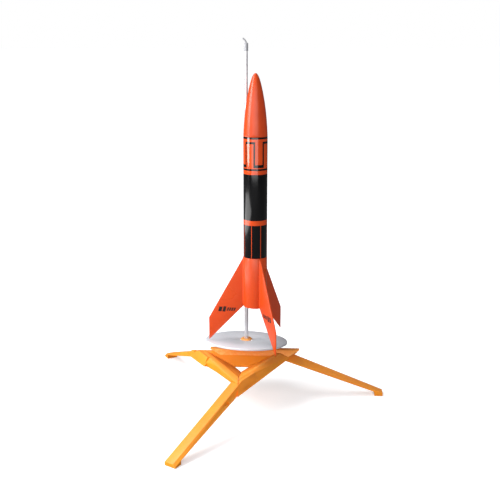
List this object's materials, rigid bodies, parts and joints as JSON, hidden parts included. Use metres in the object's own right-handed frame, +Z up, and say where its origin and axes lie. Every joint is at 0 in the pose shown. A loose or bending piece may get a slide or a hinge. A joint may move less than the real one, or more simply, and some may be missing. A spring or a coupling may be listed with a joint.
{
  "type": "model rocket",
  "caption": "Small finned model rocket standing on a launch rod over a slanted blast plate and a three-legged pad, with its motor and recovery gear inside.",
  "frame": {"origin": "middle of the object's bounding box in X and Y, on the plane that the three feet stand on", "axes": "+Z up along the launch rod; +X to the right and -Y towards the front, where the rocket hides its launch lug and rod"},
  "size_m": [0.2526, 0.2758, 0.3823],
  "materials": {
    "rocket_plastic": "glossy injection-moulded polystyrene, red-orange",
    "tube_print": "glossy printed wrap on a paper tube: black bands and an orange key pattern",
    "pad_plastic": "satin injection-moulded polypropylene, orange",
    "plate_steel": "thin pressed steel sheet, pale grey",
    "rod_steel": "drawn steel wire",
    "white_paper": "rolled white paper",
    "kraft_paper": "spiral-wound kraft paper",
    "clay": "pressed bentonite clay",
    "propellant": "pressed black powder, delay and ejection charge",
    "chute_film": "thin plastic film, white with orange checks",
    "wadding_tissue": "flame-resistant crepe tissue",
    "elastic": "round woven elastic",
    "clear_plastic": "translucent grey vinyl"
  },
  "bodies": {
    "pad": {"leg_rear": "pad_plastic", "leg_front": "pad_plastic", "leg_left": "pad_plastic", "tilt_bridge": "pad_plastic", "pivot_bolt": "rod_steel"},
    "nut": {"thumb_nut": "rod_steel"},
    "rod": {"rod_holder": "pad_plastic", "rod_sleeve": "rod_steel", "launch_rod": "rod_steel"},
    "cap": {"safety_cap": "clear_plastic"},
    "plate": {"blast_plate": "plate_steel"},
    "rocket": {"body_tube": "tube_print", "fin_can": "rocket_plastic", "launch_lug": "white_paper", "motor_tube": "kraft_paper", "thrust_ring": "kraft_paper", "rear_centring_ring": "kraft_paper", "front_centring_ring": "kraft_paper", "wadding": "wadding_tissue", "parachute": "chute_film", "cord_mount": "white_paper", "shock_cord": "elastic"},
    "motor": {"motor_casing": "kraft_paper", "motor_nozzle": "clay", "motor_grain": "propellant", "motor_cap": "clay"},
    "nose": {"nose_cone": "rocket_plastic", "nose_insert": "rocket_plastic"}
  },
  "joints": [
    {"name": "rod_tilt", "type": "hinge", "parent": "pad", "child": "rod", "pos_m": [-0.02453, 0.03218, 0.0552], "axis": [0.9987, -0.0511, 0], "range_deg": [-30, 12]},
    {"name": "nut_turn", "type": "hinge", "parent": "pad", "child": "nut", "pos_m": [-0.02453, 0.03218, 0.0552], "axis": [0.9987, -0.0511, 0], "continuous": true},
    {"name": "cap_pull", "type": "slide", "parent": "rod", "child": "cap", "axis": [0, 0, 1], "range_m": [0, 0.012]},
    {"name": "plate_lift", "type": "slide", "parent": "rod", "child": "plate", "axis": [0, 0, 1], "range_m": [0, 0.03]},
    {"name": "rocket_lift", "type": "slide", "parent": "plate", "child": "rocket", "axis": [0, 0, 1], "range_m": [0, 0.13]},
    {"name": "motor_pull", "type": "slide", "parent": "rocket", "child": "motor", "axis": [0, 0, -1], "range_m": [0, 0.028]},
    {"name": "nose_pull", "type": "slide", "parent": "rocket", "child": "nose", "axis": [0, 0, 1], "range_m": [0, 0.06]}
  ]
}
